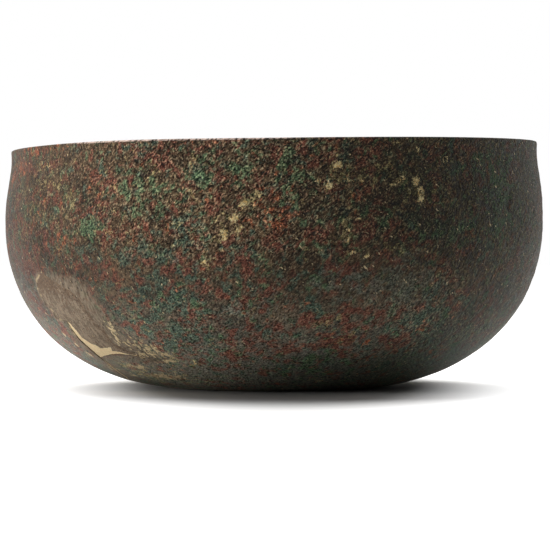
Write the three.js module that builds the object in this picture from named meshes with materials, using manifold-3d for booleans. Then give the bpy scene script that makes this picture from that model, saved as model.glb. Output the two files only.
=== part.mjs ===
// A deep bowl raised from one disc of bronze, broken low on one side and mended.
// Millimetres, +Z up. The origin is the centre of the flat base.
// Azimuth runs counterclockwise from +X, seen from above, so the front is at 270 degrees.
// The mend faces the front left. "Along" is the distance up the wall from the base's centre.
import * as THREE from "three";
import { mergeVertices } from "three/addons/utils/BufferGeometryUtils.js";
import Module from "manifold-3d";

// The body's profile, on its outer face.
const bowlHeight = 120.7;
const baseRadius = 44;
const bellyRadius = 134.3;
const bellyHeight = 82;
const lipRadius = 131.1;

// How far the profile's two curves swing between those points.
const heelReach = 57;
const heelRise = 1.6;
const bellyFall = 43;
const bellyRise = 20.5;
const neckFall = 11.5;
const neckFlare = -0.8;

// The metal is thinnest where it was stretched most, in the wall.
const baseThickness = 3;
const wallThickness = 2.2;
const lipThickness = 3;
const lipBand = 22;
const lipCorner = 1.2;
const lipSquareness = 0.6;

// Hand work: the wall leans, the lip swells at one place, the heel sits off centre
// and the mouth is a little oval.
const lean = { height: 2.4, azimuth: 0 };
const lipSwell = { height: 1, azimuth: 234, spread: 28, below: 30 };
const heelShift = { reach: 1, azimuth: 180, height: 2, fade: 29 };
const oval = { reach: 0.5, azimuth: 0 };

// The mend: two sherds set back in the wall, filler where metal was lost, and a thread of filler.
const jointGap = 0.3;
const fillerRecess = 0.5;
const fillerBacking = 0.8;
const crackFillerWidth = 0.9;
const sideSherdStep = { by: 0.3, azimuth: 195, along: 115 };
const baseSherdStep = { by: -0.25, azimuth: 218, along: 80 };

// Resolution.
const aroundSteps = 72;
const wallSteps = 22;
const lipSteps = 6;
const breakStep = 4;
const breakJag = 0.25;

// Finishes: colour, roughness and metalness.
const darkPatina = [0x4a3f38, 0.62, 0.35];
const wornPatina = [0x5f564c, 0.55, 0.35];
const tonedFiller = [0x6e6353, 0.75, 0];
const bareFiller = [0xc3a26e, 0.85, 0];

const { clamp, degToRad, euclideanModulo, lerp, radToDeg, smoothstep } = THREE.MathUtils;
const lipEdgeHeight = bowlHeight - lipCorner;
const wasm = await Module();
wasm.setup();

// The wall.

function outerProfile() {
  const path = new THREE.Path();
  path.moveTo(0, 0);
  path.lineTo(baseRadius, 0);
  path.bezierCurveTo(
    baseRadius + heelReach, heelRise,
    bellyRadius, bellyHeight - bellyFall,
    bellyRadius, bellyHeight,
  );
  path.bezierCurveTo(
    bellyRadius, bellyHeight + bellyRise,
    lipRadius + neckFlare, lipEdgeHeight - neckFall,
    lipRadius, lipEdgeHeight,
  );
  return path;
}

const profile = outerProfile();
const wallLength = profile.getLength();

// The outer face's radius and height, and its outward direction, this far along the wall.
function station(along) {
  const half = 0.5;
  const at = (distance) => profile.getPoint(clamp(distance / wallLength, 0, 1));
  const run = at(along + half).sub(at(along - half)).normalize();
  return { point: at(along), outward: new THREE.Vector2(run.y, -run.x) };
}

function thicknessAt(along) {
  const thinned = smoothstep(along, baseRadius, baseRadius * 2);
  const thickened = smoothstep(along, wallLength - lipBand, wallLength);
  return baseThickness + (wallThickness - baseThickness) * thinned
    + (lipThickness - wallThickness) * thickened;
}

// Half section of the wall: up the outside, over the rounded lip and back down the inside.
function wallSection(outerInset, innerExtra) {
  const alongs = [0, baseRadius / 2];
  for (let i = 0; i <= wallSteps; i++) alongs.push(lerp(baseRadius, wallLength, i / wallSteps));
  const outside = [];
  const inside = [];
  for (const along of alongs) {
    const { point, outward } = station(along);
    outside.push(point.clone().addScaledVector(outward, -outerInset));
    inside.unshift(point.clone().addScaledVector(outward, -thicknessAt(along) - innerExtra));
  }
  const lipCentre = outside.at(-1).clone().lerp(inside[0], 0.5);
  const lipHalf = outside.at(-1).distanceTo(inside[0]) / 2;
  const lip = [];
  for (let i = 1; i < lipSteps; i++) {
    const angle = (Math.PI * i) / lipSteps;
    const across = Math.sign(Math.cos(angle)) * Math.abs(Math.cos(angle)) ** lipSquareness;
    const up = Math.sin(angle) ** lipSquareness;
    lip.push(new THREE.Vector2(lipHalf * across, lipCorner * up).add(lipCentre));
  }
  return [...outside, ...lip, ...inside];
}

function wallSolid({ outerInset = 0, innerExtra = 0 } = {}) {
  const lathe = new THREE.LatheGeometry(wallSection(outerInset, innerExtra), aroundSteps);
  return solidOf(lathe.rotateX(Math.PI / 2));
}

// Moves a point of the true round bowl to where the uneven, hand-raised one has it.
function handRaised(point) {
  const radius = Math.hypot(point.x, point.y);
  const azimuth = radToDeg(Math.atan2(point.y, point.x));
  const height = point.z / bowlHeight;
  const towards = (place, times = 1) => Math.cos(times * degToRad(azimuth - place.azimuth));
  const heelFade = Math.exp(-(((point.z - heelShift.height) / heelShift.fade) ** 2));
  const grow = heelShift.reach * towards(heelShift) * heelFade + oval.reach * towards(oval, 2) * height;
  const scale = radius > baseRadius ? (radius + grow) / radius : 1;
  const away = euclideanModulo(azimuth - lipSwell.azimuth + 180, 360) - 180;
  const swollen = Math.exp(-((away / lipSwell.spread) ** 2))
    * smoothstep(point.z, bowlHeight - lipSwell.below, bowlHeight);
  const rise = lean.height * towards(lean) * height * (radius / lipRadius) + lipSwell.height * swollen;
  return point.set(point.x * scale, point.y * scale, point.z + rise);
}

// The breaks, drawn on the wall as points of azimuth in degrees and distance along in millimetres.

const breaks = {
  // The crack up the mend's left side, from its low corner to its tip.
  mendLeft: [[213.2, 103.2], [213.2, 109.2], [212.4, 119], [213, 129.5], [210.1, 130.8], [208.5, 131.8],
    [209.1, 135.8], [207, 142.2], [206.5, 148], [207.6, 152.8], [211.2, 156.8]],
  // From the tip down the right side to the mend's far end.
  mendRight: [[211.2, 156.8], [216.8, 150.5], [220.4, 147.2], [222.6, 142.5], [224.2, 129.5],
    [225.7, 125.2], [225.4, 116], [228.7, 110.2], [232.2, 105.8]],
  // From the far end back over the base sherd's round top to the corner.
  mendLow: [[232.2, 105.8], [229.8, 106], [226.8, 106.8], [224.2, 107.3], [220.4, 106.6],
    [216.5, 105.1], [213.2, 103.2]],
  // The crack from the corner down to the heel, between the two sherds.
  heelCrack: [[213.2, 103.2], [213.2, 98.8], [211.2, 91.8], [208.8, 86.5], [205.3, 80.5],
    [200, 76.5], [196, 73.5]],
  // The side sherd's other edges, closed tight on the bowl's left.
  sideEdge: [[196, 73.5], [187, 73], [181, 82], [176, 98], [178, 117], [174, 131], [184, 144],
    [194, 155], [203, 159], [211.2, 156.8]],
  // The base sherd's other edges, closed tight under the heel.
  baseEdge: [[196, 73.5], [199, 62], [209, 54], [220, 55], [232, 63], [230, 78], [233, 93],
    [232.2, 105.8]],
};

// The step from one break point to another, in millimetres round the wall and along it.
function stepBetween(from, to) {
  const degreeWidth = degToRad(station(from.y).point.x);
  return new THREE.Vector2((to.x - from.x) * degreeWidth, to.y - from.y);
}

function stepped(point, step) {
  const degreeWidth = degToRad(station(point.y).point.x);
  return new THREE.Vector2(point.x + step.x / degreeWidth, point.y + step.y);
}

// A break line in short steps, pushed in and out a little like any torn edge.
function breakLine(name) {
  const corners = breaks[name].map(([azimuth, along]) => new THREE.Vector2(azimuth, along));
  const line = [corners[0]];
  for (let i = 1; i < corners.length; i++) {
    const step = stepBetween(corners[i - 1], corners[i]);
    const steps = Math.ceil(step.length() / breakStep);
    const across = new THREE.Vector2(step.y, -step.x).normalize();
    for (let j = 1; j <= steps; j++) {
      const point = corners[i - 1].clone().lerp(corners[i], j / steps);
      const jag = j < steps ? breakJag * (-1) ** line.length : 0;
      line.push(stepped(point, across.clone().multiplyScalar(jag)));
    }
  }
  return line;
}

// Joins break lines end to end into one closed outline.
function outlineOf(...lines) {
  return lines.flatMap((line) => line.slice(0, -1));
}

// The outline moved outwards by this much, or inwards where it is negative.
function offsetOutline(outline, by) {
  const sharpest = 0.5;
  const sign = THREE.ShapeUtils.area(outline) > 0 ? 1 : -1;
  return outline.map((point, i) => {
    const into = stepBetween(outline.at(i - 1), point).normalize();
    const out = stepBetween(point, outline[(i + 1) % outline.length]).normalize();
    const mitre = new THREE.Vector2(into.y + out.y, -into.x - out.x).normalize();
    const reach = 1 / Math.max(sharpest, mitre.x * into.y - mitre.y * into.x);
    return stepped(point, mitre.multiplyScalar(sign * by * reach));
  });
}

// A ribbon of this width along a break line.
function ribbonAlong(line, width) {
  const side = (by) => line.map((point, i) => {
    const before = line[Math.max(i - 1, 0)];
    const after = line[Math.min(i + 1, line.length - 1)];
    const run = stepBetween(before, after).normalize();
    return stepped(point, new THREE.Vector2(run.y, -run.x).multiplyScalar(by));
  });
  return [...side(width / 2), ...side(-width / 2).reverse()];
}

// A solid that cuts through the wall inside an outline, with its sides square to the wall.
// They meet at a focus in the bowl's mouth, which the wall's inside faces.
function throughWall(outline) {
  const focus = new THREE.Vector3(0, 0, bowlHeight);
  const nearest = 0.7;
  const furthest = 1.35;
  const shape = new THREE.Shape(outline);
  const slab = new THREE.ExtrudeGeometry(shape, { depth: 1, bevelEnabled: false });
  const place = slab.getAttribute("position");
  const corner = new THREE.Vector3();
  for (let i = 0; i < place.count; i++) {
    corner.fromBufferAttribute(place, i);
    const azimuth = degToRad(corner.x);
    const { point } = station(corner.y);
    const reach = lerp(nearest, furthest, corner.z);
    corner.set(point.x * Math.cos(azimuth), point.x * Math.sin(azimuth), point.y);
    corner.sub(focus).multiplyScalar(reach).add(focus);
    place.setXYZ(i, corner.x, corner.y, corner.z);
  }
  return solidOf(slab);
}

// Solids and meshes.

// Shared corners are merged, and the slivers that this leaves at a lathe's poles are dropped.
function solidOf(geometry) {
  const weld = 1e-4;
  const bare = geometry.index ? geometry.toNonIndexed() : geometry.clone();
  bare.deleteAttribute("normal");
  bare.deleteAttribute("uv");
  const merged = mergeVertices(bare, weld);
  const triangles = [];
  for (let i = 0; i < merged.index.count; i += 3) {
    const corners = [0, 1, 2].map((c) => merged.index.getX(i + c));
    if (new Set(corners).size === 3) triangles.push(...corners);
  }
  const vertProperties = merged.getAttribute("position").array;
  const triVerts = new Uint32Array(triangles);
  return new wasm.Manifold(new wasm.Mesh({ numProp: 3, vertProperties, triVerts }));
}

function meshOf(name, solid, [color, roughness, metalness]) {
  const { numProp, vertProperties, triVerts } = solid.getMesh();
  const places = [];
  const place = new THREE.Vector3();
  for (let i = 0; i < vertProperties.length; i += numProp) {
    handRaised(place.fromArray(vertProperties, i));
    places.push(place.x, place.y, place.z);
  }
  const geometry = new THREE.BufferGeometry();
  geometry.setAttribute("position", new THREE.Float32BufferAttribute(places, 3));
  geometry.setIndex([...triVerts]);
  geometry.computeVertexNormals();
  const material = new THREE.MeshStandardMaterial({ color, roughness, metalness });
  const mesh = new THREE.Mesh(geometry, material);
  mesh.name = name;
  return mesh;
}

// Moves a sherd square to the wall at one place, as a mend that isn't quite flush leaves it.
function stepOut(mesh, { by, azimuth, along }) {
  const { outward } = station(along);
  const angle = degToRad(azimuth);
  mesh.position.set(outward.x * Math.cos(angle), outward.x * Math.sin(angle), outward.y).multiplyScalar(by);
  return mesh;
}

function mendOutlines() {
  const [left, right, low, crack, side, base] =
    ["mendLeft", "mendRight", "mendLow", "heelCrack", "sideEdge", "baseEdge"].map(breakLine);
  const bareEnd = 1;
  return {
    gap: outlineOf(left, right, low),
    sideSherd: outlineOf(crack.toReversed(), left, side.toReversed()),
    baseSherd: outlineOf(crack, base, low),
    crack: ribbonAlong(crack.slice(bareEnd, -bareEnd), crackFillerWidth),
  };
}

function buildBowl() {
  const wall = wallSolid();
  const fillerWall = wallSolid({ outerInset: fillerRecess, innerExtra: fillerBacking });
  const outlines = mendOutlines();
  const cutter = (name, by) => throughWall(offsetOutline(outlines[name], by));

  let body = wall;
  for (const name of ["sideSherd", "baseSherd", "gap"]) body = body.subtract(cutter(name, jointGap / 2));
  const crackKerf = cutter("crack", jointGap);
  const sherd = (name) => wall.intersect(cutter(name, -jointGap / 2)).subtract(crackKerf);

  const bowl = new THREE.Group();
  bowl.add(
    meshOf("bowl_body", body, darkPatina),
    stepOut(meshOf("side_sherd", sherd("sideSherd"), wornPatina), sideSherdStep),
    stepOut(meshOf("base_sherd", sherd("baseSherd"), wornPatina), baseSherdStep),
    meshOf("break_filler", fillerWall.intersect(cutter("gap", -jointGap / 2)), tonedFiller),
    meshOf("crack_filler", fillerWall.intersect(cutter("crack", 0)), bareFiller),
  );
  return bowl;
}

export default buildBowl();
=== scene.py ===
import math
import random

import bmesh
import bpy
import numpy as np
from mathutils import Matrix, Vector, kdtree, noise


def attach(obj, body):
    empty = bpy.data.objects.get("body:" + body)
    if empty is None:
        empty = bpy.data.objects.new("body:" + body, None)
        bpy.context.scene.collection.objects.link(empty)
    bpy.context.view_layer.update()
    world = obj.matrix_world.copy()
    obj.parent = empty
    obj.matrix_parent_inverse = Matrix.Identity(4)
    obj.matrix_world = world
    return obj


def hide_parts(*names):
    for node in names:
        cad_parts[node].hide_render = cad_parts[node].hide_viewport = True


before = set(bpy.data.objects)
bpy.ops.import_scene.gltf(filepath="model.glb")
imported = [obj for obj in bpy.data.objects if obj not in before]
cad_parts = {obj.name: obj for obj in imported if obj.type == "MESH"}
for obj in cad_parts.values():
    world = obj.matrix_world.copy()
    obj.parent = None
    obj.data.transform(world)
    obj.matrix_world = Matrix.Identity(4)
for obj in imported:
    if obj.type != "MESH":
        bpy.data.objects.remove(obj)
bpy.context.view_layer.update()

# A mended bronze bowl. Shapes are worked out in millimetres and end in metres.
# Azimuth runs counterclockwise from +X, so the front is at 270 degrees.
# Along is the distance up the wall from the centre of the base, on the outer face.

bpy.context.scene.view_settings.view_transform = "Standard"
toMetres = 0.001

wallShape = {
    "height": 120.7,
    "baseRadius": 44,
    "bellyRadius": 134.3,
    "bellyHeight": 82,
    "lipRadius": 131.1,
    "heelReach": 57,
    "heelRise": 1.6,
    "bellyFall": 43,
    "bellyRise": 20.5,
    "neckFall": 11.5,
    "neckFlare": -0.8,
    "baseThickness": 3,
    "wallThickness": 2.2,
    "lipThickness": 3,
    "lipBand": 22,
    "lipCorner": 1.2,
    "lipSquareness": 0.6,
}

handwork = {
    "lean": 2.4, "leanAzimuth": 0,
    "lipSwell": 1, "swellAzimuth": 234, "swellSpread": 28, "swellBelow": 30,
    "heelShift": 1, "heelAzimuth": 180, "heelHeight": 2, "heelFade": 29,
    "oval": 0.5, "ovalAzimuth": 0,
}


# The wall's profile

def smoothstep(value, low, high):
    share = np.clip((value - low) / (high - low), 0, 1)
    return share * share * (3 - 2 * share)


baseSteps, curveSteps = 200, 1200


def bezier(a, b, c, d):
    t = np.linspace(0, 1, curveSteps)[:, None]
    a, b, c, d = (np.array(p, float) for p in (a, b, c, d))
    return (1 - t) ** 3 * a + 3 * (1 - t) ** 2 * t * b + 3 * (1 - t) * t * t * c + t ** 3 * d


def outerProfile():
    w = wallShape
    edge = w["height"] - w["lipCorner"]
    heel, belly = (w["baseRadius"], 0), (w["bellyRadius"], w["bellyHeight"])
    base = np.linspace((0, 0), heel, baseSteps)
    lower = bezier(heel, (w["baseRadius"] + w["heelReach"], w["heelRise"]),
                   (w["bellyRadius"], w["bellyHeight"] - w["bellyFall"]), belly)
    upper = bezier(belly, (w["bellyRadius"], w["bellyHeight"] + w["bellyRise"]),
                   (w["lipRadius"] + w["neckFlare"], edge - w["neckFall"]), (w["lipRadius"], edge))
    return np.concatenate([base, lower[1:], upper[1:]])


profile = outerProfile()
profileAlong = np.concatenate([[0], np.cumsum(np.hypot(*np.diff(profile, axis=0).T))])
wallLength = profileAlong[-1]


# Radius and height of the outer face, with the direction out of it
def station(along):
    at = lambda s: np.stack([np.interp(s, profileAlong, profile[:, i]) for i in (0, 1)], -1)
    run = at(np.asarray(along) + 0.5) - at(np.asarray(along) - 0.5)
    run /= np.linalg.norm(run, axis=-1, keepdims=True)
    return at(along), np.stack([run[..., 1], -run[..., 0]], -1)


def thicknessAt(along):
    w = wallShape
    thinned = smoothstep(along, w["baseRadius"], 2 * w["baseRadius"])
    thickened = smoothstep(along, wallLength - w["lipBand"], wallLength)
    return (w["baseThickness"] + (w["wallThickness"] - w["baseThickness"]) * thinned
            + (w["lipThickness"] - w["wallThickness"]) * thickened)


def lipBead(outer, inner, steps):
    middle, half = (outer + inner) / 2, np.linalg.norm(outer - inner) / 2
    bead = []
    for i in range(1, steps):
        angle = math.pi * i / steps
        across = math.copysign(abs(math.cos(angle)) ** wallShape["lipSquareness"], math.cos(angle))
        up = math.sin(angle) ** wallShape["lipSquareness"]
        bead.append(middle + (half * across, wallShape["lipCorner"] * up))
    return bead


# Up the outside, over the lip and down the inside; an open line for the whole bowl, closed for a patch
def wallSection(outside, inside, lipSteps=0, innerExtra=0):
    outer, _ = station(np.array(outside, float))
    point, outward = station(np.array(inside, float))
    inner = point - outward * (thicknessAt(np.array(inside, float)) + innerExtra)[:, None]
    lip = lipBead(outer[-1], inner[0], lipSteps) if lipSteps else []
    return [*outer, *lip, *inner]


def onWall(azimuth, along):
    angle = np.radians(azimuth)
    point, _ = station(along)
    return np.stack([point[..., 0] * np.cos(angle), point[..., 0] * np.sin(angle), point[..., 1]], -1)


# Breaks

breakLines = {
    "mendLeft": [(213.2, 103.2), (213.2, 109.2), (212.4, 119), (213, 129.5), (210.1, 130.8), (208.5, 131.8),
                 (209.1, 135.8), (207, 142.2), (206.5, 148), (207.6, 152.8), (211.2, 156.8)],
    "mendRight": [(211.2, 156.8), (216.8, 150.5), (220.4, 147.2), (222.6, 142.5), (224.2, 129.5),
                  (225.7, 125.2), (225.4, 116), (228.7, 110.2), (232.2, 105.8)],
    "mendLow": [(232.2, 105.8), (229.8, 106), (226.8, 106.8), (224.2, 107.3), (220.4, 106.6),
                (216.5, 105.1), (213.2, 103.2)],
    "heelCrack": [(213.2, 103.2), (213.2, 98.8), (211.2, 91.8), (208.8, 86.5), (205.3, 80.5),
                  (200, 76.5), (196, 73.5)],
    "sideEdge": [(196, 73.5), (187, 73), (181, 82), (176, 98), (178, 117), (174, 131), (184, 144),
                 (194, 155), (203, 159), (211.2, 156.8)],
    "baseEdge": [(196, 73.5), (199, 62), (209, 54), (220, 55), (232, 63), (230, 78), (233, 93),
                 (232.2, 105.8)],
}

tear = {
    "step": 1.1,
    "jag": 0.16,
    "seed": 7,
    "gap": {"mendLeft": 0.04, "mendLow": 0.06, "mendRight": 0, "heelCrack": 0.08,
            "sideEdge": 0, "baseEdge": 0},
}


def degreeWidth(along):
    return math.radians(1) * float(station(along)[0][0])


# A torn line in short steps: rows of azimuth, along and the gap left at the joint
def tornLine(name):
    draw = random.Random(tear["seed"] + sorted(breakLines).index(name))
    corners = breakLines[name]
    line = [corners[0]]
    for (az0, al0), (az1, al1) in zip(corners, corners[1:]):
        wide = degreeWidth((al0 + al1) / 2)
        across, up = (az1 - az0) * wide, al1 - al0
        length = math.hypot(across, up)
        steps = max(1, round(length / tear["step"]))
        for i in range(1, steps + 1):
            push = draw.uniform(-1, 1) * tear["jag"] if i < steps else 0
            share = i / steps
            line.append((az0 + (az1 - az0) * share + push * up / length / wide,
                         al0 + (al1 - al0) * share - push * across / length))
    return [(az, al, tear["gap"][name]) for az, al in line]


torn = {name: tornLine(name) for name in breakLines}


def outlineOf(*lines):
    return [point for line in lines for point in line[:-1]]


outlines = {
    "gap": outlineOf(torn["mendLeft"], torn["mendRight"], torn["mendLow"]),
    "sideSherd": outlineOf(torn["heelCrack"][::-1], torn["mendLeft"], torn["sideEdge"][::-1]),
    "baseSherd": outlineOf(torn["heelCrack"], torn["baseEdge"], torn["mendLow"]),
}


# The outline drawn in by each point's own gap
def drawnIn(outline):
    flat = np.array([(az, al) for az, al, _ in outline])
    wide = np.array([degreeWidth(al) for _, al in flat])[:, None] * (1, 0) + (0, 1)
    across, up = (flat * wide).T
    turn = math.copysign(1, np.sum(across * np.roll(up, -1) - np.roll(across, -1) * up))
    moved = []
    for i, (az, al, gap) in enumerate(outline):
        into = (flat[i] - flat[i - 1]) * wide[i]
        out = (flat[(i + 1) % len(flat)] - flat[i]) * wide[i]
        normal = into / np.linalg.norm(into) + out / np.linalg.norm(out)
        normal = np.array((-normal[1], normal[0])) / max(np.linalg.norm(normal), 1e-9) * turn
        moved.append((az + normal[0] * gap / wide[i][0], al + normal[1] * gap))
    return moved


taperPoints = 6


# A narrow outline along a line, tapered at its start
def ribbon(line, width):
    sides = []
    for sign in (1, -1):
        side = []
        for i, (az, al, _) in enumerate(line):
            a, b = line[max(i - 1, 0)], line[min(i + 1, len(line) - 1)]
            wide = degreeWidth(al)
            run = np.array(((b[0] - a[0]) * wide, b[1] - a[1]))
            run /= np.linalg.norm(run)
            reach = sign * width / 2 * math.sin(math.pi * min(1, (i + 1) / taperPoints) / 2)
            side.append((az + run[1] * reach / wide, al - run[0] * reach))
        sides.append(side if sign > 0 else side[::-1])
    return sides[0] + sides[1]


# Meshes

def objectOf(name, bm):
    mesh = bpy.data.meshes.new(name)
    bm.to_mesh(mesh)
    bm.free()
    made = bpy.data.objects.new(name, mesh)
    bpy.context.scene.collection.objects.link(made)
    return made


def faceOut(bm):
    bmesh.ops.recalc_face_normals(bm, faces=bm.faces)
    if bm.calc_volume(signed=True) < 0:
        bmesh.ops.reverse_faces(bm, faces=bm.faces)


# The section turned all the way round
def spunBowl(name, section, around):
    bm = bmesh.new()
    verts = [bm.verts.new((r, 0, z)) for r, z in section]
    edges = [bm.edges.new(pair) for pair in zip(verts, verts[1:])]
    bmesh.ops.spin(bm, geom=verts + edges, cent=(0, 0, 0), axis=(0, 0, 1), dvec=(0, 0, 0),
                   angle=2 * math.pi, steps=around, use_merge=True, use_duplicate=False)
    bmesh.ops.remove_doubles(bm, verts=bm.verts, dist=1e-4)
    faceOut(bm)
    return objectOf(name, bm)


# The section turned through a part of the round, and closed at both ends
def spunPatch(name, section, fromAzimuth, toAzimuth, steps):
    bm = bmesh.new()
    start = math.radians(fromAzimuth)
    verts = [bm.verts.new((r * math.cos(start), r * math.sin(start), z)) for r, z in section]
    edges = [bm.edges.new((verts[i - 1], verts[i])) for i in range(len(verts))]
    bmesh.ops.spin(bm, geom=verts + edges, cent=(0, 0, 0), axis=(0, 0, 1), dvec=(0, 0, 0),
                   angle=math.radians(toAzimuth - fromAzimuth), steps=steps,
                   use_merge=False, use_duplicate=False)
    bmesh.ops.holes_fill(bm, edges=[e for e in bm.edges if e.is_boundary], sides=0)
    faceOut(bm)
    return objectOf(name, bm)


plugReach = {"in": 0.75, "out": 1.3}


# A plug the shape of an outline, standing through the wall square to it
def wallPlug(outline):
    focus = np.array((0, 0, wallShape["height"]))
    bm = bmesh.new()
    verts = [bm.verts.new((az, al, 0)) for az, al in outline]
    edges = [bm.edges.new((verts[i - 1], verts[i])) for i in range(len(verts))]
    bmesh.ops.triangle_fill(bm, use_beauty=True, use_dissolve=False, edges=edges, normal=(0, 0, 1))
    lifted = bmesh.ops.extrude_face_region(bm, geom=bm.faces[:])["geom"]
    bmesh.ops.translate(bm, vec=(0, 0, 1), verts=[v for v in lifted if isinstance(v, bmesh.types.BMVert)])
    for v in bm.verts:
        reach = plugReach["in"] if v.co.z < 0.5 else plugReach["out"]
        v.co = Vector((onWall(v.co.x, v.co.y) - focus) * reach + focus)
    faceOut(bm)
    return objectOf("plug", bm)


def cutWith(piece, plug, operation):
    cut = piece.modifiers.new("cut", "BOOLEAN")
    cut.operation = operation
    cut.solver = "MANIFOLD"
    cut.object = plug
    graph = bpy.context.evaluated_depsgraph_get()
    mesh = bpy.data.meshes.new_from_object(piece.evaluated_get(graph))
    piece.modifiers.remove(cut)
    piece.data = mesh


def discard(*objects):
    for thing in objects:
        bpy.data.objects.remove(thing)


# Relief and patina, both read from a point's place on the wall

stationTree = kdtree.KDTree(len(profile))
for i, (r, z) in enumerate(profile):
    stationTree.insert((r, 0, z), i)
stationTree.balance()


# Azimuth, along, depth below the outer face and the direction out of the wall, for every vertex
def readWall(points):
    azimuth = np.degrees(np.arctan2(points[:, 1], points[:, 0])) % 360
    radius = np.hypot(points[:, 0], points[:, 1])
    nearest = [stationTree.find((r, 0, z))[1] for r, z in zip(radius, points[:, 2])]
    along = profileAlong[nearest]
    point, outward = station(along)
    depth = (point[:, 0] - radius) * outward[:, 0] + (point[:, 1] - points[:, 2]) * outward[:, 1]
    angle = np.radians(azimuth)
    out = np.stack([outward[:, 0] * np.cos(angle), outward[:, 0] * np.sin(angle), outward[:, 1]], -1)
    return azimuth, along, depth, out


fractal = {"falloff": 0.9, "finer": 2.1}


def grain(points, size, octaves, shift):
    places = [Vector(p) for p in points / size + shift]
    if octaves == 1:
        return np.array([noise.noise(p) for p in places])
    return np.array([noise.fractal(p, fractal["falloff"], fractal["finer"], octaves) for p in places])


# How deep each point lies in a pit, from 0 to 1; a lot drawn for each cell says whether it holds one
def pits(points):
    p = relief["pits"]
    deep = np.zeros(len(points))
    for i, place in enumerate(points / p["size"]):
        distances, centres = noise.voronoi(Vector(place))
        if noise.cell(centres[0] * p["lot"]) < p["keep"]:
            deep[i] = max(0, 1 - distances[0] / p["reach"])
    return deep


# Painted patches: azimuth, along, half width and half height in millimetres, strength

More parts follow.
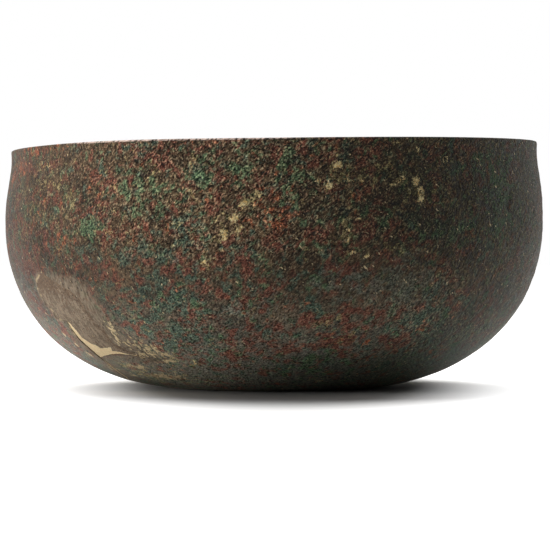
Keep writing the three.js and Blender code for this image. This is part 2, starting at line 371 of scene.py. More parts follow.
patinaPatches = {
    "ochre": [
        (213, 196, 30, 20, 0.42), (231, 176, 14, 7, 0.3), (225, 84, 25, 16, 0.5),
        (289, 201, 31, 5, 0.75), (285, 172, 4, 12, 0.6), (296, 167, 5, 3, 0.5), (300, 194, 12, 7, 0.6),
        (283, 131, 7, 5, 0.35),
        (242, 196, 33, 10, 0.3), (258, 183, 14, 9, 0.3), (40, 190, 40, 20, 0.5), (130, 120, 40, 18, 0.4),
    ],
    "rust": [
        (197, 207, 17, 6, 0.9), (208, 216, 26, 1.8, 1), (220, 173, 11, 4, 0.9),
        (208, 179, 18, 6, 0.45), (231, 196, 12, 6, 0.5),
        (256, 196, 8, 4, 0.5), (269, 184, 10, 11, 0.8), (246, 196, 4, 3, 0.5), (232, 100, 4, 4, 0.8),
        (238, 95, 5, 4, 0.7), (309, 126, 6, 4, 0.8), (320, 109, 10, 6, 0.6), (320, 131, 4, 2, 0.8),
        (285, 191, 14, 6, 0.5), (273, 192, 6, 12, 0.55), (219, 162, 17, 6, 0.4), (281, 206, 10, 7, 0.3),
        (95, 150, 20, 12, 0.6), (20, 130, 18, 9, 0.5), (150, 190, 24, 9, 0.6),
    ],
    "red": [
        (290, 212, 5, 6, 1), (274, 212, 4, 3, 0.9), (312, 213, 9, 3, 0.9), (313, 200, 5, 2, 0.8),
        (278, 171, 5, 3, 0.8), (273, 113, 8, 6, 0.8), (287, 119, 12, 7, 0.75), (301, 117, 10, 6, 0.8),
        (329, 137, 11, 13, 0.6), (260, 160, 8, 5, 0.5), (261, 115, 12, 9, 0.5), (254, 128, 10, 6, 0.45),
        (286, 158, 6, 4, 0.5), (289, 174, 6, 4, 0.6), (305, 198, 3, 5, 0.5), (242, 214, 33, 4, 0.35),
        (233, 150, 15, 9, 0.35), (290, 130, 20, 7, 0.4), (307, 156, 11, 6, 0.35), (317, 146, 11, 6, 0.4),
        (200, 150, 30, 36, 0.45), (200, 205, 24, 10, 0.4), (60, 160, 30, 14, 0.6), (115, 205, 22, 9, 0.6),
        (350, 190, 16, 9, 0.5), (160, 110, 24, 12, 0.5),
    ],
    "green": [
        (230, 177, 7, 5, 1), (264, 203, 7, 11, 0.85), (273, 203, 5, 14, 0.7), (307, 175, 14, 6, 0.85),
        (323, 189, 12, 20, 0.7), (282, 105, 14, 7, 0.7), (318, 204, 15, 7, 0.6), (256, 204, 7, 8, 0.5),
        (284, 179, 7, 7, 0.5), (242, 193, 19, 8, 0.5), (296, 182, 12, 6, 0.5), (279, 170, 4, 4, 0.6),
        (275, 91, 19, 7, 0.5), (276, 125, 7, 4, 0.4), (80, 185, 26, 12, 0.8), (5, 165, 22, 12, 0.6),
        (140, 150, 26, 16, 0.6),
    ],
    "teal": [
        (245, 142, 20, 23, 0.7), (245, 122, 14, 12, 0.7), (307, 134, 15, 15, 0.65), (267, 150, 16, 9, 0.55),
        (244, 162, 14, 7, 0.6), (252, 174, 12, 8, 0.5), (225, 165, 13, 7, 0.45), (263, 142, 14, 11, 0.5),
        (215, 96, 19, 9, 0.5), (314, 138, 11, 11, 0.5), (280, 142, 12, 11, 0.45), (240, 176, 11, 6, 0.4),
        (323, 105, 25, 7, 0.5), (263, 167, 9, 6, 0.4), (30, 140, 30, 16, 0.6), (105, 130, 28, 14, 0.6),
    ],
    # grey patina; some patches are a painted sheen of reflected light on the lower and right wall and by
    # the dent
    "greyPatinaAndSheen": [
        (296, 150, 38, 12, 1), (334, 148, 39, 26, 0.4), (193, 144, 25, 17, 0.9), (334, 112, 34, 13, 0.6),
        (193, 112, 27, 11, 0.7), (271, 137, 28, 11, 0.4), (220, 100, 21, 7, 0.7), (336, 194, 22, 17, 0.2),
        (303, 159, 23, 6, 0.5), (120, 150, 40, 20, 0.5), (262, 82, 60, 14, 0.6), (288, 106, 36, 10, 0.6),
        (240, 110, 30, 12, 0.4),
    ],
    # dark patina, partly painted shade on the upper right, along the right of the lip and low near the base
    "dark": [
        (303, 189, 40, 24, 0.8), (283, 213, 61, 5, 0.5), (264, 213, 48, 4, 0.35), (290, 182, 20, 14, 0.5),
        (270, 62, 105, 10, 0.3), (281, 173, 14, 10, 0.4), (60, 205, 50, 14, 0.4),
    ],
    # painted light: patches lightened to stand for light falling on the upper front and the lower front
    "paintedLight": [
        (246, 198, 72, 30, 0.24), (290, 116, 46, 22, 1),
    ],
    # painted shade: patches darkened, and made a little greener, to stand for shade on the right, at the
    # left edge and where the lower left wall turns under
    "paintedShade": [
        (328, 195, 108, 60, 1), (338, 142, 66, 40, 0.95), (326, 96, 58, 40, 1),
        (186, 175, 24, 60, 0.4), (190, 156, 95, 22, 0.5), (190, 187, 60, 24, 0.5),
        (204, 74, 22, 14, 0.85),
    ],
    "pale": [
        (264, 188, 2, 2, 1), (262, 182, 2.4, 2, 1), (263, 177, 2, 2, 0.9), (260, 175, 2, 2, 1),
        (260, 172, 2, 1, 0.8), (256, 161, 2, 2, 0.8), (258, 163, 2, 1, 0.7), (267, 192, 2, 1.2, 0.9),
        (283, 206, 2.2, 2, 1), (281, 196, 2, 2, 1), (279, 199, 3, 1, 0.8), (285, 199, 3, 1.2, 0.6),
        (288, 199, 3, 1.2, 0.6), (300, 198, 2, 2.4, 1), (297, 200, 2, 2, 0.7), (295, 197, 3, 1.2, 0.7),
        (301, 194, 2, 1.4, 1), (301, 190, 2, 2, 1), (308, 208, 2, 1.2, 0.8), (286, 165, 1.2, 1.2, 1),
        (285, 171, 1, 2, 0.8), (289, 163, 1.3, 1.3, 1), (285, 176, 1, 1, 0.9), (287, 181, 2, 1, 0.6),
        (282, 130, 4, 4, 0.5), (286, 79, 3, 3, 0.6), (296, 216, 1.2, 1, 0.8), (301, 213, 1.2, 1.4, 0.7),
        (253, 207, 1.4, 2, 0.7), (253, 192, 2, 1, 0.6), (246, 203, 2, 1, 0.5), (236, 186, 3, 2, 0.5),
        (247.6, 101, 1, 2.6, 1), (246.4, 97.6, 2.4, 0.9, 1), (235, 176, 4, 2, 0.5),
        (216, 200, 13, 4, 0.4), (213, 209, 12, 4, 0.4),
        (75, 196, 5, 3, 0.8), (88, 178, 4, 4, 0.8), (20, 200, 4, 3, 0.7), (125, 188, 6, 3, 0.7),
    ],
    "tan": [
        (228.6, 125, 2, 4, 0.75), (231, 115, 5, 3, 0.5), (236, 112, 8, 4, 0.6), (240, 106, 5, 3, 0.6),
        (224, 96, 5, 3, 0.75), (230, 82, 14, 5, 0.45), (233, 119, 5, 2.4, 0.5), (208, 114, 1.2, 1.6, 1),
        (209, 106, 2, 3, 0.7), (206, 122, 1, 3, 0.6), (211, 93, 4, 3, 0.6), (228, 118, 2, 3, 0.9),
        (232, 107, 3, 2, 0.9), (227, 95, 3.4, 2.4, 1), (236, 108, 5, 2, 0.8), (240, 102, 6, 2, 0.8),
        (233, 84, 12, 4, 0.7), (215, 84, 3, 2, 0.7),
    ],
}

# Where the tan filler shows bare: everything in the gap below this ragged line
bareTop = [(207, 129), (213, 129.5), (213.7, 128.5), (214.2, 123.5), (214.3, 118.8), (216.3, 114.5),
           (217.7, 114), (218.6, 111.5), (223.3, 112.5), (222.4, 109.5), (225.3, 108.8), (227.3, 107.2),
           (230.1, 106.2), (234, 104), (234, 98), (207, 98)]


def degreesFrom(azimuth, middle):
    return (azimuth - middle + 180) % 360 - 180


patchEdge = {"fall": 0.7, "square": 1.3}


def painted(tone, azimuth, along, spread=1):
    radius = station(along)[0][:, 0]
    cover = np.zeros(len(azimuth))
    for az, al, wide, tall, strength in patinaPatches[tone]:
        across = degreesFrom(azimuth, az) * math.radians(1) * radius / wide
        distance = (across ** 2 + ((along - al) / tall) ** 2) / spread ** 2
        cover = np.maximum(cover, strength * np.exp(-patchEdge["fall"] * distance ** patchEdge["square"]))
    return cover


def lineDistance(points, line):
    closest = np.full(len(points), 1e9)
    for a, b in zip(line, line[1:]):
        run = b - a
        share = np.clip((points - a) @ run / max(run @ run, 1e-9), 0, 1)
        closest = np.minimum(closest, np.linalg.norm(points - a - share[:, None] * run, axis=1))
    return closest


def insideOf(polygon, azimuth, along):
    inside = np.zeros(len(azimuth), bool)
    for (a0, l0), (a1, l1) in zip(polygon, polygon[1:] + polygon[:1]):
        if l0 == l1:
            continue
        crosses = ((l0 > along) != (l1 > along)) & (azimuth < (a1 - a0) * (along - l0) / (l1 - l0) + a0)
        inside ^= crosses
    return inside


def wallLine(*names):
    rows = np.array([row[:2] for name in names for row in torn[name]])
    return onWall(rows[:, 0], rows[:, 1])


mendEdges = {
    "left": wallLine("mendLeft"),
    "right": wallLine("mendRight"),
    "low": wallLine("mendLow"),
    "crack": wallLine("heelCrack"),
}

relief = {
    # pattern size, how far it rises, octaves, shift
    "hammer": (19, 0.22, 1, 3),
    "dents": (64, 0.5, 1, 11),
    "crust": (5.5, 0.2, 3, 5),
    "fineCrust": (3, 0.13, 2, 17),
    "pits": {"size": 9, "deep": 0.5, "keep": 0.32, "lot": 7.3, "reach": 0.36},
    "accretion": {"rise": 0.5, "onTan": 0.4, "size": 2.2, "least": 0.6, "shift": 29},
    "smoothDent": {"azimuth": 284, "along": 151, "wide": 30, "tall": 10, "deep": 0.7, "perDegree": 2.3},
    "sherdRise": {"by": 0.12, "within": 9},
    "fillerDip": {"by": 0.2, "within": 5},
    "threadRise": 0.14,
    "flush": (138, 118),
    "insideShare": 0.5,
    "base": {"calm": (40, 60), "rests": 46, "share": 0.5},
}

# Where the crust is heavy and where it is calm. A pair is where a change begins and where it is complete.
crustZones = {
    "calm": 0.22, "inside": 0.45,
    "upper": (154, 178),
    "right": {"strength": 0.8, "azimuths": (285, 310), "alongs": (96, 130)},
    "left": {"calmed": 0.7, "azimuth": 190, "reach": (66, 26)},
    "mend": {"reach": (40, 14), "foot": (80, 104), "head": (156, 170)},
    "mendCalmed": {"body": 0.85, "sherd": 0.5, "filler": 0.85, "thread": 0.85},
}

# Where the overpaint, the joints' dirt with painted shade and tan, the worn rim with its painted highlight
# and the low wall's painted light and sheen lie
toneZones = {
    "overpaint": {"within": 13, "foot": (88, 104), "head": (146, 168)},
    "sherdPaint": {"strength": 0.8, "below": 9, "above": 3, "change": (116, 130)},
    "thinned": {"strength": 0.8, "alongs": (134, 156), "beside": 0.6, "within": 4},
    "paleHalo": {"strength": 0.6, "spread": 2.4},
    "seamDirtAndShade": 1.1,
    "tanSeam": {"within": 0.5, "strength": 0.6, "breaks": 3.4, "shift": 41, "shown": (0, 0.25)},
    "seamTurnsTan": (116, 121),
    "rimWearAndHighlight": {"below": (0.8, 0.3), "least": 0.15, "from": (216, 230), "until": (262, 284)},
    "low": (165, 95), "lowPaintedLight": 0.66,
}


def nearTo(distance, reach):
    return np.exp(-(distance / reach) ** 2)


def roughnessOf(azimuth, along, outside, face, kind):
    z = crustZones
    right, left, mend = z["right"], z["left"], z["mend"]
    onRight = smoothstep(azimuth, *right["azimuths"]) * smoothstep(along, *right["alongs"])
    onLeft = smoothstep(np.abs(degreesFrom(azimuth, left["azimuth"])), *left["reach"])
    toMend = lineDistance(face, np.concatenate([mendEdges["left"], mendEdges["right"]]))
    inMend = smoothstep(toMend, *mend["reach"]) * smoothstep(along, *mend["foot"])
    inMend *= (1 - smoothstep(along, *mend["head"])) * outside
    rough = z["calm"] + (1 - z["calm"]) * smoothstep(along, *z["upper"])
    rough = np.maximum(rough, right["strength"] * onRight) * (1 - left["calmed"] * onLeft)
    return np.where(outside, rough, z["inside"]) * (1 - z["mendCalmed"][kind] * inMend)


# How far each vertex stands out of the smooth wall, and the tones that cover it
def surfaceOf(points, kind):
    azimuth, along, depth, out = readWall(points)
    outside = depth < thicknessAt(along) * 0.5
    face = onWall(azimuth, along)
    toLeft = np.minimum(lineDistance(face, mendEdges["left"]), lineDistance(face, mendEdges["low"]))
    toCrack = np.minimum(toLeft, lineDistance(face, mendEdges["crack"]))
    toRight = lineDistance(face, mendEdges["right"])
    rough = roughnessOf(azimuth, along, outside, face, kind)
    tones = {tone: painted(tone, azimuth, along) * outside for tone in patinaPatches}

    r = relief
    push = np.zeros(len(points))
    covers = {"hammer": 1, "dents": smoothstep(along, *r["base"]["calm"]),
              "crust": rough, "fineCrust": rough}
    for name, cover in covers.items():
        size, rise, octaves, shift = r[name]
        push += rise * cover * grain(points, size, octaves, shift)
    push -= r["pits"]["deep"] * rough * pits(points)
    crumb, dent = r["accretion"], r["smoothDent"]
    crumbs = np.minimum(tones["pale"] + crumb["onTan"] * tones["tan"], 1)
    push += crumb["rise"] * crumbs * (crumb["least"] + grain(points, crumb["size"], 1, crumb["shift"]))
    push -= (dent["deep"] * nearTo(degreesFrom(azimuth, dent["azimuth"]) * dent["perDegree"], dent["wide"])
             * nearTo(along - dent["along"], dent["tall"]))
    flush = smoothstep(along, *r["flush"])
    if kind == "filler":
        push -= r["fillerDip"]["by"] * nearTo(toLeft, r["fillerDip"]["within"]) * flush
    if kind == "thread":
        push += r["threadRise"]
    if kind == "sherd":
        push += r["sherdRise"]["by"] * smoothstep(toCrack, r["sherdRise"]["within"], 0) * flush
    push *= np.where(outside, 1, r["insideShare"])
    # nothing on the base stands below the face that it rests on
    push = np.where(outside & (along < r["base"]["rests"]), -np.abs(push) * r["base"]["share"], push)

    t = toneZones
    over, onSherd, thin, rimWearAndHighlight = t["overpaint"], t["sherdPaint"], t["thinned"], t["rimWearAndHighlight"]
    paint = nearTo(toRight, over["within"]) * (1 - smoothstep(along, *over["head"]))
    paint *= smoothstep(along, *over["foot"])
    if kind == "filler":
        paint = np.ones(len(along))
    if kind == "sherd":
        narrowed = (onSherd["below"] - onSherd["above"]) * smoothstep(along, *onSherd["change"])
        paint = onSherd["strength"] * nearTo(toCrack, onSherd["below"] - narrowed)
    tones["paint"] = paint * outside
    tones["thin"] = np.maximum(thin["strength"] * smoothstep(along, *thin["alongs"]),
                               thin["beside"] * nearTo(toRight, thin["within"]))
    tones["bare"] = insideOf(bareTop, azimuth, along) * outside
    tones["rough"] = rough
    halo = t["paleHalo"]["strength"] * painted("pale", azimuth, along, t["paleHalo"]["spread"])
    tones["ochre"] = np.maximum(tones["ochre"], halo * outside)
    turned, tan = smoothstep(along, *t["seamTurnsTan"]), t["tanSeam"]
    broken = tan["strength"] * smoothstep(grain(points, tan["breaks"], 2, tan["shift"]), *tan["shown"])
    # the joints are darkened with dirt and painted shade
    tones["seamDirtAndShade"] = nearTo(toCrack, t["seamDirtAndShade"]) * outside * (1 - turned)
    toTan = lineDistance(face, mendEdges["left"])
    tones["tanSeam"] = nearTo(toTan, tan["within"]) * outside * turned * broken
    # the rim's pale line is a painted highlight over worn metal, full where light falls on the lip and weak
    # elsewhere
    paintedLight = smoothstep(azimuth, *rimWearAndHighlight["from"]) * (1 - smoothstep(azimuth, *rimWearAndHighlight["until"]))
    edge = smoothstep(points[:, 2], *(wallShape["height"] - below for below in rimWearAndHighlight["below"]))
    tones["rimWearAndHighlight"] = edge * (rimWearAndHighlight["least"] + (1 - rimWearAndHighlight["least"]) * paintedLight)
    tones["inside"] = 1.0 - outside
    # the low wall is painted paler, greyer and lighter to stand for light bounced and reflected from the
    # floor
    tones["low"] = smoothstep(along, *t["low"])
    tones["paintedLight"] = np.maximum(tones["paintedLight"], tones["low"] * t["lowPaintedLight"])
    return (push * np.where(outside, 1, -1))[:, None] * out, tones


def handRaised(points):
    h, w = handwork, wallShape
    radius = np.hypot(points[:, 0], points[:, 1])
    azimuth = np.degrees(np.arctan2(points[:, 1], points[:, 0]))
    height = points[:, 2] / w["height"]
    towards = lambda place, times=1: np.cos(times * np.radians(azimuth - place))
    heel = nearTo(points[:, 2] - h["heelHeight"], h["heelFade"])
    grow = h["heelShift"] * towards(h["heelAzimuth"]) * heel
    grow += h["oval"] * towards(h["ovalAzimuth"], 2) * height
    scale = np.where(radius > w["baseRadius"], (radius + grow) / np.maximum(radius, 1e-6), 1)
    swollen = nearTo(degreesFrom(azimuth, h["swellAzimuth"]), h["swellSpread"])
    swollen *= smoothstep(points[:, 2], w["height"] - h["swellBelow"], w["height"])
    rise = h["lean"] * towards(h["leanAzimuth"]) * height * radius / w["lipRadius"]
    rise += h["lipSwell"] * swollen
    return np.stack([points[:, 0] * scale, points[:, 1] * scale, points[:, 2] + rise], -1)


sharpAngle = 38


# Gives a cut piece its relief, its uneven round, its tones and its sharp edges
def finishPiece(piece, kind, step=None):
    mesh = piece.data
    count = len(mesh.vertices)
    flat = np.empty(count * 3)
    mesh.vertices.foreach_get("co", flat)
    points = flat.reshape(-1, 3)
    push, tones = surfaceOf(points, kind)
    moved = handRaised(points + push)
    if step:
        _, outward = station(step["along"])
        angle = math.radians(step["azimuth"])
        out = np.array((outward[0] * math.cos(angle), outward[0] * math.sin(angle), outward[1]))
        moved += step["by"] * out
    moved[:, 2] = np.maximum(moved[:, 2], 0)
    mesh.vertices.foreach_set("co", (moved * toMetres).ravel())
    for tone, cover in tones.items():
        mesh.attributes.new(tone, "FLOAT", "POINT").data.foreach_set("value", cover.astype(np.float32))
    mesh.polygons.foreach_set("use_smooth", np.ones(len(mesh.polygons), bool))
    mesh.set_sharp_from_angle(angle=math.radians(sharpAngle))
    mesh.update()
    mesh.calc_loop_triangles()
    print(piece.name, len(mesh.loop_triangles), "triangles")


bodyShape = {
    "around": 480,
    "baseRings": 10,
    "outsideRings": 100,
    "lipSteps": 8,
    "insideRings": 56,
    "lipRing": 0.7,
}
# How far each sherd is set out or in, square to the wall at one place
sideSherdStep = {"by": 0.12, "azimuth": 195, "along": 115}
baseSherdStep = {"by": -0.1, "azimuth": 218, "along": 80}
# The stretch of wall that each patch is cut from, its mesh size and how far it backs the wall inside
patches = {
    "side_sherd": {"azimuths": (172, 216), "alongs": (66, 166), "fine": 1.0, "backing": 0},
    "base_sherd": {"azimuths": (194, 236), "alongs": (48, 112), "fine": 0.9, "backing": 0},
    "break_filler": {"azimuths": (203, 236), "alongs": (99, 161), "fine": 0.42, "backing": 0.8},
    "crack_filler": {"azimuths": (193, 217), "alongs": (68, 108), "fine": 0.42, "backing": 0.8},
}
crackThread = {"width": 0.7, "kerf": 0.74}


def bodyPiece():
    b = bodyShape
    base = list(np.linspace(0, wallShape["baseRadius"], b["baseRings"], endpoint=False))
    outside = base + list(np.linspace(wallShape["baseRadius"], wallLength, b["outsideRings"]))
    outside.insert(-1, wallLength - b["lipRing"])
    inside = list(np.linspace(wallLength, wallShape["baseRadius"], b["insideRings"])) + base[::-2]
    if inside[-1] != 0:
        inside.append(0)
    body = spunBowl("bowl_shell", wallSection(outside, inside, b["lipSteps"]), b["around"])
    plugs = [wallPlug([row[:2] for row in outlines[name]]) for name in ("sideSherd", "baseSherd", "gap")]
    for plug in plugs:
        cutWith(body, plug, "DIFFERENCE")
    discard(*plugs)
    return body


def patchPiece(name, outline):
    p = patches[name]
    rows = int((p["alongs"][1] - p["alongs"][0]) / p["fine"])
    outside = np.linspace(*p["alongs"], rows)
    inside = np.linspace(*p["alongs"][::-1], rows // 3)
    section = wallSection(outside, inside, 0, p["backing"])
    around = int((p["azimuths"][1] - p["azimuths"][0]) * degreeWidth(sum(p["alongs"]) / 2) / p["fine"])
    piece = spunPatch(name + "_dressed", section, *p["azimuths"], around)
    plug = wallPlug(outline)
    cutWith(piece, plug, "INTERSECT")
    discard(plug)
    return piece


# the thread of filler lies along the crack, short of both its ends
crackLine = torn["heelCrack"][2:-3]
bowlShell = bodyPiece()
sideSherd = patchPiece("side_sherd", drawnIn(outlines["sideSherd"]))
baseSherd = patchPiece("base_sherd", drawnIn(outlines["baseSherd"]))
breakFiller = patchPiece("break_filler", drawnIn(outlines["gap"]))
crackFiller = patchPiece("crack_filler", ribbon(crackLine, crackThread["width"]))
kerf = wallPlug(ribbon(crackLine, crackThread["kerf"]))
cutWith(sideSherd, kerf, "DIFFERENCE")
cutWith(baseSherd, kerf, "DIFFERENCE")
discard(kerf)

finishPiece(bowlShell, "body")
finishPiece(sideSherd, "sherd", sideSherdStep)
finishPiece(baseSherd, "sherd", baseSherdStep)
finishPiece(breakFiller, "filler")
finishPiece(crackFiller, "thread")
print("pieces shaped")


# Shader maths: a socket that can be added, taken away and multiplied
class Signal:
    def __init__(self, look, socket):
        self.look, self.socket = look, socket

    def __add__(self, other):
        return self.look.maths("ADD", self, other)

    def __sub__(self, other):
        return self.look.maths("SUBTRACT", self, other)

    def __rsub__(self, other):
        return self.look.maths("SUBTRACT", other, self)

    def __mul__(self, other):
        return self.look.maths("MULTIPLY", self, other)

    __radd__ = __add__
    __rmul__ = __mul__


class Look:
    def __init__(self, name, owner=None):
        self.material = owner or bpy.data.materials.new(name)
        self.material.use_nodes = True
        self.tree = self.material.node_tree
        self.tree.nodes.clear()

    # Any node: its type, its settings, then what its sockets hold
    def node(self, kind, settings=None, sockets=None, output=0):
        made = self.tree.nodes.new(kind)
        for key, value in (settings or {}).items():
            setattr(made, key, value)
        for key, value in (sockets or {}).items():
            if isinstance(value, Signal):
                self.tree.links.new(value.socket, made.inputs[key])
            else:
                made.inputs[key].default_value = value
        return made if output is None else Signal(self, made.outputs[output])

    def maths(self, operation, *values):
        return self.node("ShaderNodeMath", {"operation": operation}, dict(enumerate(values)))

    def mix(self, factor, first, second, blend="MIX"):
        settings = {"data_type": "RGBA", "blend_type": blend}
        return self.node("ShaderNodeMix", settings, {0: factor, 6: first, 7: second}, 2)

    def times(self, colour, factor):
        return self.mix(1.0, colour, factor, "MULTIPLY")

    def step(self, value, low, high, bottom=0, top=1):
        settings = {"interpolation_type": "SMOOTHSTEP"}
        return self.node("ShaderNodeMapRange", settings, {0: value, 1: low, 2: high, 3: bottom, 4: top})

    # From a dark tone to a light one as the value passes from low to high
    def shades(self, value, low, high, dark, light):
        return self.mix(self.step(value, low, high), dark, light)

    # A noise that becomes cover where the painting of that name lifts it
    def lifted(self, value, name, by, low, high):
        return self.step(value + self.mask(name) * by, low, high)

    def mask(self, name):
        return self.node("ShaderNodeAttribute", {"attribute_name": name}, output="Fac")

    # The place on the piece in millimetres; a pattern is drawn out along the way it runs
    def place(self, shift=0, way=None, drawn=1):
        here = self.node("ShaderNodeTexCoord", output="Object")
        turn = Vector(ways[way]).to_track_quat("Z", "X").to_euler() if way else (0, 0, 0)
        sockets = {"Vector": here, "Location": (shift * toMetres, 0, -shift * toMetres), "Rotation": turn,
                   "Scale": (toMetres, toMetres, toMetres * drawn)}
        return self.node("ShaderNodeMapping", {"vector_type": "TEXTURE"}, sockets)

    def grain(self, size, detail, rough, warp=0, *where):
        return self.node("ShaderNodeTexNoise", None,
                         {"Vector": self.place(*where), "Scale": 1 / size, "Detail": detail,
                          "Roughness": rough, "Distortion": warp})

    def grains(self, rows):
        return {name: self.grain(*row) for name, row in rows.items()}

    def cells(self, size, shift):
        return self.node("ShaderNodeTexVoronoi", None, {"Vector": self.place(shift), "Scale": 1 / size})

    def bump(self, height):
        return self.node("ShaderNodeBump", None, {"Height": height, "Distance": toMetres})

    def finish(self, **sockets):
        named = {key.replace("_", " "): value for key, value in sockets.items()}
        shader = self.node("ShaderNodeBsdfPrincipled", None, named)
        self.node("ShaderNodeOutputMaterial", None, {"Surface": shader}, None)
        return self.material


def tone(red, green, blue):
    linear = [((c / 255 + 0.055) / 1.055) ** 2.4 for c in (red, green, blue)]
    return (*linear, 1)


# Finishes

ways = {"raised": (1, 0, 1.1), "smooth": (1, 0, 0.8), "fleck": (1, 0.3, -1), "paint": (0.39, 0.31, -0.85)}

patina = {
    "deepBrown": tone(49, 39, 30),
    "brown": tone(99, 80, 62),
    "wornAndGlintBrown": tone(176, 162, 134),
    "lowPaintedSheen": tone(106, 108, 102),
    "insideBrown": tone(70, 62, 50),
    "pitDarkTone": tone(24, 19, 15),
    # a painted highlight over the worn rim
    "rimWearAndHighlight": tone(244, 218, 204),
    "crumbs": (tone(236, 196, 124), tone(255, 238, 184)),
    "flecks": (tone(204, 180, 132), tone(246, 228, 188)),
    # these multiply the colour that they lie on: painted shade over the dirt in hollows, painted light on
    # the worn crests, painted glints, and broad patches of painted light and painted shade
    "hollowDirtAndShade": (0.2, 0.18, 0.16, 1),
    "crestWearAndLight": (1.62, 1.6, 1.54, 1),
    "paintedGlint": (3.4, 3.4, 3.2, 1),
    "paintedLight": (2.44, 2.54, 2.56, 1),
    "paintedShade": (0.28, 0.34, 0.3, 1),
    "metallic": 0.1,
    "specular": 0.14,
    "roughness": (0.46, 0.66),
    "covers": {
        # the painting that lifts it and by how much, where the cover begins and where it is complete
        "crumbs": ("pale", 0.33, 0.69, 0.705),
        "flecks": ("tan", 0.34, 0.67, 0.7),
        "overpaint": ("paint", 0.62, 0.52, 0.92),
    },
    "stains": {
        # dark tone, light tone, speck size, threshold where unpainted, how far painting lowers it, strength
        "teal": (tone(40, 58, 50), tone(80, 101, 88), 4.8, 0.56, 0.13, 0.8),
        "red": (tone(86, 46, 39), tone(124, 73, 61), 5.0, 0.55, 0.13, 0.8),
        "ochre": (tone(104, 92, 62), tone(166, 150, 110), 2.8, 0.645, 0.19, 0.8),
        "rust": (tone(120, 66, 46), tone(172, 102, 73), 3.0, 0.635, 0.13, 0.85),
        "green": (tone(43, 69, 50), tone(92, 116, 86), 3.8, 0.59, 0.14, 0.82),
        # grey patina, partly a painted sheen of reflected light
        "greyPatinaAndSheen": (tone(78, 80, 72), tone(116, 116, 106), 3.0, 0.66, 0.2, 0.7),
        # dark patina, partly painted shade
        "dark": (tone(29, 26, 20), tone(48, 44, 34), 3.0, 0.64, 0.2, 0.75),
    },
    "grains": {
        # size, detail, roughness, warp, shift, the way it runs, how far it is drawn out
        "broad": (24, 3, 0.5, 0, 40),
        "crust": (3.8, 2, 0.5, 0.4, 71),
        "mottle": (1.6, 4, 0.64, 0, 88),
        "strokes": (1.05, 1, 0.5, 0.7, 0, "raised", 1.9),
        "fine": (0.7, 1, 0.5, 0.4, 9, "smooth", 1.5),
        "worn": (0.75, 1, 0.5, 0.3, 23, "raised", 1.7),
        "pitted": (8, 2, 0.5, 0, 77),
        "crumbs": (1.15, 4, 0.8, 0.9, 3, "raised", 1.5),
        "streaks": (1.1, 4, 0.6, 0, 33, "paint", 3.2),
        "paintEdge": (3, 4, 0.57, 0.4, 138, "raised", 1.3),
        "flecks": (1.5, 3, 0.6, 0.3, 51, "fleck", 2),
    },
}

filler = {
    "paintDark": tone(105, 90, 74),
    "paintLight": tone(158, 142, 121),
    "paintRed": tone(128, 90, 72),
    "matched": (tone(74, 58, 44), tone(124, 98, 76)),
    "tan": (tone(240, 212, 164), tone(255, 236, 196)),
    "seamDirtAndShadeTone": tone(84, 62, 46),
    "specular": 0.22,
    "roughness": (0.6, 0.78),
    "covers": {
        "matched": ("thin", 0.5, 0.62, 0.8),
        "worn": ("tan", 0.3, 0.66, 0.71),
    },
    "threadGrain": (0.7, 3, 0.6),
    "threadRoughness": 0.8,
    "grains": {
        "streaks": (1.1, 4, 0.6, 0.3, 0, "paint", 3.4),
        "cloud": (6, 3, 0.5, 0, 12),
        "fine": (0.9, 2, 0.6, 0, 4),
        "redder": (1.6, 4, 0.65, 0, 71),
        "matched": (1.5, 4, 0.66, 0, 37),
        "bareEdge": (1.1, 4, 0.65, 0, 90),
        "worn": (1.2, 4, 0.6, 0, 19),
        "pitted": (6, 2, 0.5, 0, 64),
    },
}


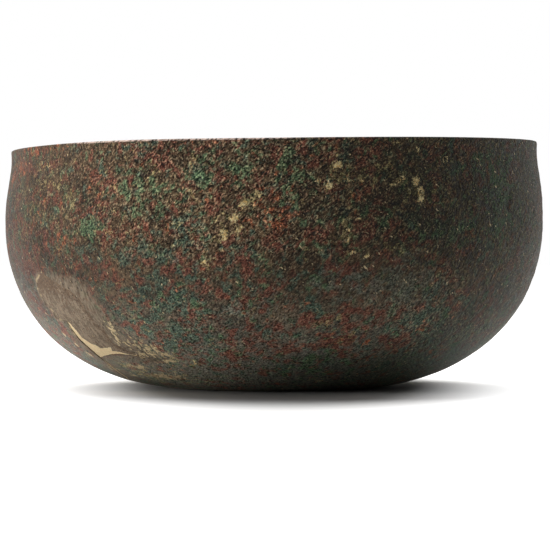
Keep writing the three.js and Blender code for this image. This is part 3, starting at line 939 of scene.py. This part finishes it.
def bronzeLook():
    look = Look("patinated bronze")
    g, covers = look.grains(patina["grains"]), patina["covers"]
    rough, strokes, fine = look.mask("rough"), g["strokes"], g["fine"]
    mottle = g["broad"] * 0.3 + g["crust"] * 0.35 + g["mottle"] * 0.35
    colour = look.shades(mottle, 0.38, 0.62, patina["deepBrown"], patina["brown"])
    # painted sheen and bounce light: the low wall is made paler and greyer
    colour = look.mix(look.mask("low") * 0.6, colour, patina["lowPaintedSheen"])
    for i, (name, row) in enumerate(patina["stains"].items()):
        dark, light, size, threshold, lowered, strength = row
        ragged = look.grain(size, 4, 0.57, 0.4, 60 + 13 * i, "raised", 1.3)
        area = look.grain(13, 2, 0.5, 0, 200 + 31 * i)
        level = threshold - look.mask(name) * lowered
        cover = look.step(ragged * 0.72 + area * 0.28 - level, -0.05, 0.06) * strength
        colour = look.mix(cover, colour, look.shades(fine, 0.35, 0.65, dark, light))
    # hollows hold dark dirt with painted shade over it, and the tops of the crust are worn lighter with
    # painted light on them
    shade = look.shades(strokes * 0.6 + fine * 0.4, 0.38, 0.54, patina["hollowDirtAndShade"], patina["crestWearAndLight"])
    colour = look.mix(0.5 + rough * 0.5, colour, look.times(colour, shade))
    # painted glints: small spots on the crust's tops lightened to a bright copy of the colour under them,
    # over some wear
    worn = look.step(g["worn"] * 0.65 + strokes * 0.35, 0.54, 0.6)
    paintedGlints = look.mix(0.45, look.times(colour, patina["paintedGlint"]), patina["wornAndGlintBrown"])
    colour = look.mix(worn * (0.2 + rough * 0.8), colour, paintedGlints)
    # painted light and painted shade: the colour is multiplied lighter or darker by those patches
    for name in ("paintedLight", "paintedShade"):
        colour = look.mix(look.mask(name), colour, look.times(colour, patina[name]))
    # pale accretions, overpaint beside the mend, darkened pits, tan flecks, the worn rim under a painted
    # highlight, the joints' dirt with painted shade, and the inside
    crumbs = look.lifted(g["crumbs"], *covers["crumbs"])
    colour = look.mix(crumbs, colour, look.shades(fine, 0.3, 0.62, *patina["crumbs"]))
    coat = look.shades(g["streaks"], 0.34, 0.66, filler["paintDark"], filler["paintLight"])
    coated = look.lifted(g["paintEdge"] * 0.4 + g["streaks"] * 0.35, *covers["overpaint"])
    colour = look.mix(coated * 0.85, colour, coat)
    # the pits are darkened
    pit = (1 - look.step(look.cells(2.3, 5), 0.12, 0.34)) * look.step(g["pitted"], 0.4, 0.54)
    colour = look.mix(pit * 0.75, colour, patina["pitDarkTone"])
    flecks = look.lifted(g["flecks"], *covers["flecks"])
    colour = look.mix(flecks, colour, look.mix(fine, *patina["flecks"]))
    # the rim's painted highlight over the worn lip
    rimWearAndHighlight = look.step(look.mask("rimWearAndHighlight"), 0.3, 0.75) * look.step(strokes, 0.34, 0.5)
    for cover, over in ((rimWearAndHighlight, patina["rimWearAndHighlight"]), (look.mask("seamDirtAndShade") * 0.4, filler["seamDirtAndShadeTone"]),
                        (look.mask("tanSeam"), filler["tan"][0]),
                        (look.mask("inside") * 0.3, patina["insideBrown"])):
        colour = look.mix(cover, colour, over)

    height = (strokes * 2.6 + g["crust"] * 1.8 + fine * 0.4) * rough + fine * 0.3 + strokes * 0.6
    height = height - pit * 0.3 + crumbs * 0.7 + flecks * 0.2
    roughness = look.step(strokes, 0.35, 0.65, *patina["roughness"])
    return look.finish(Base_Color=colour, Roughness=roughness, Metallic=patina["metallic"],
                       Normal=look.bump(height), Specular_IOR_Level=patina["specular"])


def fillerLook():
    look = Look("toned filler")
    g, covers = look.grains(filler["grains"]), filler["covers"]
    fine = g["fine"]
    laid = g["streaks"] * 0.45 + g["cloud"] * 0.25 + fine * 0.3
    paint = look.shades(laid, 0.41, 0.59, filler["paintDark"], filler["paintLight"])
    paint = look.mix(look.step(g["redder"], 0.56, 0.64) * 0.45, paint, filler["paintRed"])
    # the retouching is thinner towards the metal, where it was matched to the patina
    matched = look.lifted(g["matched"], *covers["matched"]) * 0.8
    paint = look.mix(matched, paint, look.shades(fine, 0.35, 0.65, *filler["matched"]))
    pit = (1 - look.step(look.cells(2.1, 8), 0.1, 0.3)) * look.step(g["pitted"], 0.46, 0.58)
    paint = look.mix(pit * 0.7, paint, patina["pitDarkTone"])
    bare = look.step(look.mask("bare") + g["bareEdge"] * 0.7, 0.78, 0.9)
    worn = look.lifted(g["worn"], *covers["worn"])
    shown = look.maths("MAXIMUM", bare, worn * 0.9)
    colour = look.mix(shown, paint, look.shades(fine, 0.3, 0.7, *filler["tan"]))
    # the joint's edge is darkened with dirt and painted shade
    colour = look.mix(look.mask("seamDirtAndShade") * (1 - bare) * 0.3, colour, filler["seamDirtAndShadeTone"])
    colour = look.mix(look.mask("tanSeam"), colour, filler["tan"][1])
    height = g["streaks"] * 0.16 + fine * 0.3 - shown * 0.12
    return look.finish(Base_Color=colour, Roughness=look.step(fine, 0.3, 0.7, *filler["roughness"]),
                       Normal=look.bump(height), Specular_IOR_Level=filler["specular"])


def threadLook():
    look = Look("bare filler")
    fine = look.grain(*filler["threadGrain"])
    return look.finish(Base_Color=look.shades(fine, 0.3, 0.7, *filler["tan"]),
                       Roughness=filler["threadRoughness"], Normal=look.bump(fine * 0.1))


bronze = bronzeLook()
for piece, node, slot, material in (
    (bowlShell, "bowl_body", "patinated_bronze", bronze),
    (sideSherd, "side_sherd", "patinated_bronze", bronze),
    (baseSherd, "base_sherd", "patinated_bronze", bronze),
    (breakFiller, "break_filler", "toned_filler", fillerLook()),
    (crackFiller, "crack_filler", "bare_filler", threadLook()),
):
    piece.data.materials.clear()
    piece.data.materials.append(material)
    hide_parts(node)
    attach(piece, "root")
print("finishes on")


# Studio

camera = {
    "back": 1.712, "height": 0.066, "right": 0.0004,
    "lens": 223.2, "sensor": 36, "shiftDown": 19 / 550, "clip": (0.05, 50),
}
studio = {
    "floorSize": 40,
    "floorTone": (0.3, 0.85),
    # the floor's tone under the painted shadow and beyond it
    "ambient": 0.1,
    "lookAt": (0, 0, 0.06),
    # a shadow painted on the floor under the bowl, as a darker floor tone and a weaker glow in an ellipse
    # that ends sooner behind it
    "contactShadow": {"centre": (0.004, 0.07, 0), "narrow": 0.27, "dark": (140, 340), "clear": (240, 460),
                      "behind": (70, 300, 0, 260)},
    "lights": {
        # place, size, power, tint
        "overhead": ((-0.3, 0.75, 1.7), 1.3, 33, (1, 0.99, 0.97)),
        "leftKey": ((-1.95, -0.75, 0.22), 0.5, 21, (1, 0.98, 0.95)),
        "rightEdge": ((1.45, 1.2, 0.5), 0.6, 0.8, (0.95, 0.98, 1)),
    },
}


def makeCamera():
    data = bpy.data.cameras.new("camera")
    data.lens = camera["lens"]
    data.sensor_width = camera["sensor"]
    data.shift_y = -camera["shiftDown"]
    data.clip_start, data.clip_end = camera["clip"]
    made = bpy.data.objects.new("camera", data)
    made.location = (camera["right"], -camera["back"], camera["height"])
    made.rotation_euler = (math.pi / 2, 0, 0)
    bpy.context.scene.collection.objects.link(made)
    bpy.context.scene.camera = made


def makeLights():
    for name, (place, size, power, tint) in studio["lights"].items():
        data = bpy.data.lights.new(name, "AREA")
        data.shape = "SQUARE"
        data.size = size
        data.energy = power
        data.color = tint
        lamp = bpy.data.objects.new(name, data)
        lamp.location = place
        towards = Vector(studio["lookAt"]) - Vector(place)
        lamp.rotation_euler = towards.to_track_quat("-Z", "Y").to_euler()
        bpy.context.scene.collection.objects.link(lamp)


# 1 for the rays that show the background, which is white to them whatever the lamps do
def backgroundRays(look):
    rays = [look.node("ShaderNodeLightPath", output=name)
            for name in ("Is Camera Ray", "Is Glossy Ray", "Is Transmission Ray")]
    return look.maths("MAXIMUM", rays[0], look.maths("MAXIMUM", rays[1], rays[2]))


def makeWorld():
    look = Look("studio", bpy.data.worlds.new("studio"))
    bpy.context.scene.world = look.material
    strength = backgroundRays(look) * (1 - studio["ambient"]) + studio["ambient"]
    glow = look.node("ShaderNodeBackground", None, {"Color": (1, 1, 1, 1), "Strength": strength})
    look.node("ShaderNodeOutputWorld", None, {"Surface": glow}, None)


def makeFloor():
    bm = bmesh.new()
    bmesh.ops.create_grid(bm, x_segments=1, y_segments=1, size=studio["floorSize"] / 2)
    floor = objectOf("floor", bm)
    look = Look("white floor")
    shadow = studio["contactShadow"]
    here = look.node("ShaderNodeMapping", {"vector_type": "TEXTURE"},
                     {"Vector": look.node("ShaderNodeTexCoord", output="Object"),
                      "Location": shadow["centre"],
                      "Scale": (toMetres * shadow["narrow"], toMetres, toMetres)})
    away = look.node("ShaderNodeVectorMath", {"operation": "LENGTH"}, {0: here}, "Value")
    behind = look.node("ShaderNodeSeparateXYZ", None, {"Vector": look.place()}, "Y")
    away = away + look.step(behind, *shadow["behind"])
    # the glow and the floor tone both fall in the ellipse: a painted contact shadow
    clear = look.step(away, *shadow["clear"])
    under, beyond = ((value, value, value, 1) for value in studio["floorTone"])
    shade = look.mix(look.step(away, *shadow["dark"]), under, beyond)
    diffuse = look.node("ShaderNodeBsdfDiffuse", None, {"Color": shade})
    glow = look.node("ShaderNodeEmission", None,
                     {"Color": (1, 1, 1, 1), "Strength": backgroundRays(look) * clear})
    both = look.node("ShaderNodeAddShader", None, {0: diffuse, 1: glow})
    look.node("ShaderNodeOutputMaterial", None, {"Surface": both}, None)
    floor.data.materials.append(look.material)


makeCamera()
makeLights()
makeWorld()
makeFloor()
print("studio lit")
